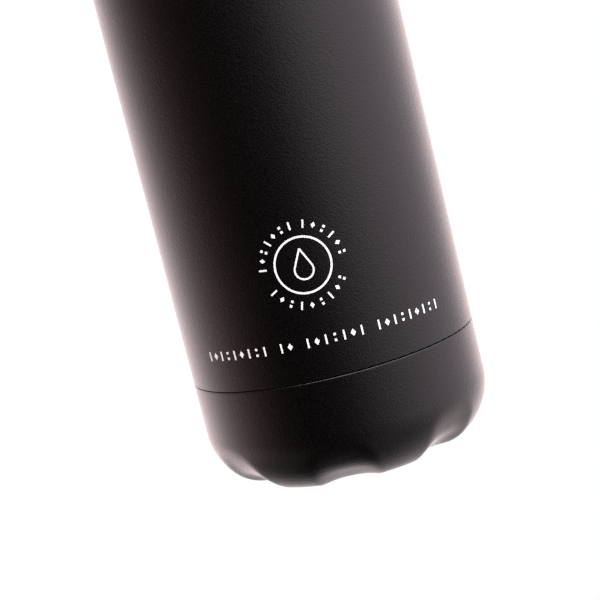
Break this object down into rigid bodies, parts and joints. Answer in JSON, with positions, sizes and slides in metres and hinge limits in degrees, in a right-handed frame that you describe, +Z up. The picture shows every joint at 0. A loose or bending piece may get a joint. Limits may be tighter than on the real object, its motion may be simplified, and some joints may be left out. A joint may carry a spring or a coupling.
{
  "type": "insulated water bottle",
  "caption": "Double-wall vacuum bottle with a straight body, a scalloped base cup and a screw stopper cap.",
  "frame": {"origin": "on the bottle's axis, at the plane of the feet", "axes": "+Z up along the bottle, -Y is the printed front"},
  "size_m": [0.07, 0.07, 0.27],
  "materials": {
    "powder_coat": "satin black powder coat with a fine grain",
    "base_coat": "satin black powder coat with a fine grain",
    "cap_coat": "satin black powder coat with a fine grain",
    "steel": "electropolished stainless steel",
    "steel_bottom": "electropolished stainless steel",
    "steel_outer_bottom": "plain pressed stainless steel",
    "solder": "dull solder",
    "steel_clip": "plain pressed stainless steel",
    "getter": "sintered grey",
    "copper": "bright copper foil",
    "adhesive": "cured structural adhesive",
    "stopper_plastic": "moulded black polypropylene",
    "stopper_cover": "moulded black polypropylene",
    "foam": "closed-cell foam",
    "ink": "white screen-printed ink",
    "silicone": "translucent grey silicone"
  },
  "bodies": {
    "bottle": {"outer_shell": "powder_coat", "inner_vessel": "steel", "inner_bottom": "steel_bottom", "outer_bottom": "steel_outer_bottom", "vacuum_seal_bead": "solder", "getter_holder": "steel_clip", "getter_pill": "getter", "copper_foil": "copper", "base_cup": "base_coat", "base_adhesive": "adhesive"},
    "cap_seal": {"cap_seal_ring": "silicone"},
    "cap": {"cap_shell": "cap_coat", "cap_plug": "stopper_plastic", "cap_foam": "foam", "cap_plug_cover": "stopper_cover", "cap_adhesive": "adhesive"}
  },
  "joints": [
    {"name": "cap_rise", "type": "slide", "parent": "bottle", "child": "cap_seal", "axis": [0, 0, 1], "range_m": [0, 0.0212]},
    {"name": "cap_unscrew", "type": "hinge", "parent": "cap_seal", "child": "cap", "pos_m": [0, 0, 0.244], "axis": [0, 0, 1], "range_deg": [0, 1512]}
  ],
  "couplings": [
    {"joint": "cap_rise", "follows": "cap_unscrew", "m_per_rad": 0.00079577}
  ]
}
